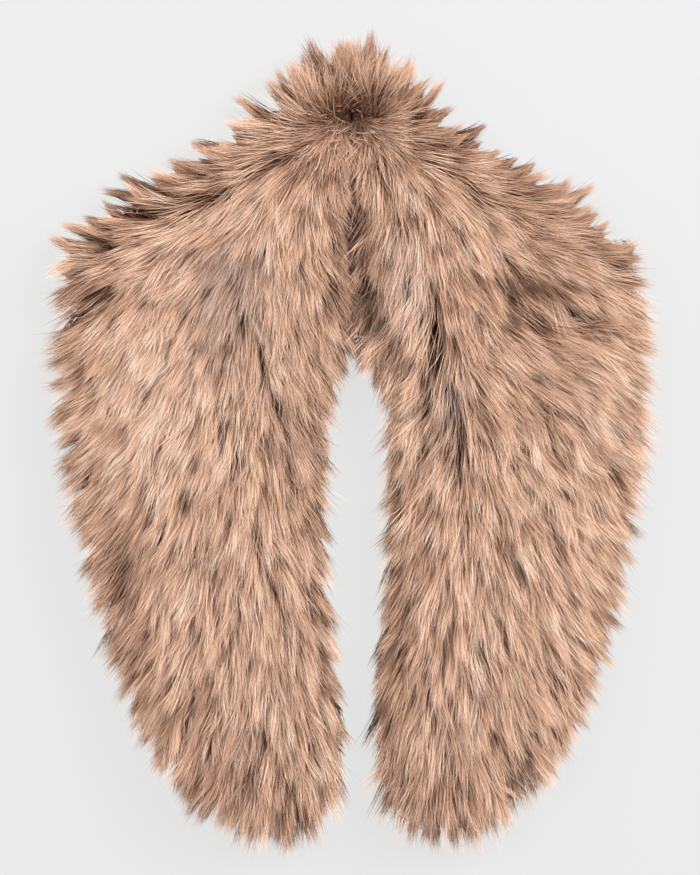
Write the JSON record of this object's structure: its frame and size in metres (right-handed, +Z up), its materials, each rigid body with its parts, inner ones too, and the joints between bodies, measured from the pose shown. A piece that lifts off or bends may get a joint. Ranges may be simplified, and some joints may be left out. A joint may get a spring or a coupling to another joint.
{
  "type": "fur collar wrap",
  "caption": "Long-haired fur collar wrap laid flat with the fur up: broad rounded fronts that meet at a centre seam and part below it, joined by a narrow back neck stretch.",
  "frame": {"origin": "middle of the footprint, on the surface that the collar lies on", "axes": "+Z up out of the fur, +Y towards the back of the neck, +X to the right of a person looking down at it"},
  "size_m": [0.4093, 0.5575, 0.058],
  "materials": {
    "fur": "long soft pile, beige brown, darker at the roots and pale at the tips"
  },
  "bodies": {
    "root": {"left_front": "fur", "right_front": "fur", "back_stretch": "fur"}
  },
  "joints": []
}
